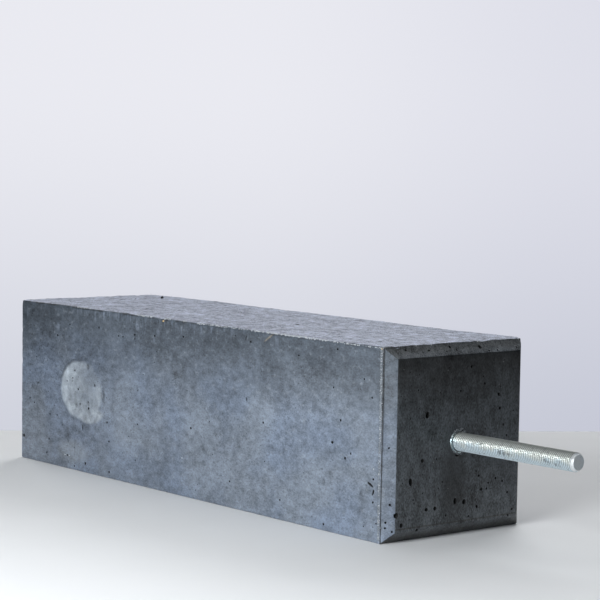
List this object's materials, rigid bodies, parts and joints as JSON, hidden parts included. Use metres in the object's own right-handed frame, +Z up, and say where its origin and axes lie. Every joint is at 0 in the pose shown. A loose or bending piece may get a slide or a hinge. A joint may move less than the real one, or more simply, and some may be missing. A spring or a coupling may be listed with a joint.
{
  "type": "column base block with threaded rod",
  "caption": "Precast concrete column base: a square block chamfered at one end, with a cast-in socket and a threaded rod on its axis.",
  "frame": {"origin": "centre of the long side that the block lies on, at floor height", "axes": "+X along the block towards the rod, +Z up out of the struck-off side, +Y across the block to the left of +X"},
  "size_m": [0.87, 0.2, 0.203],
  "materials": {
    "concrete": "charcoal-pigmented precast concrete, matt, with air holes, pale bloom and burrs on its arrises",
    "socket_zinc": "zinc-plated steel, bluish, with cement on its rim",
    "rod_zinc": "bright zinc-plated steel, semi-gloss, with dark handling marks"
  },
  "bodies": {
    "root": {"concrete_block": "concrete", "threaded_socket": "socket_zinc", "threaded_rod": "rod_zinc"}
  },
  "joints": []
}
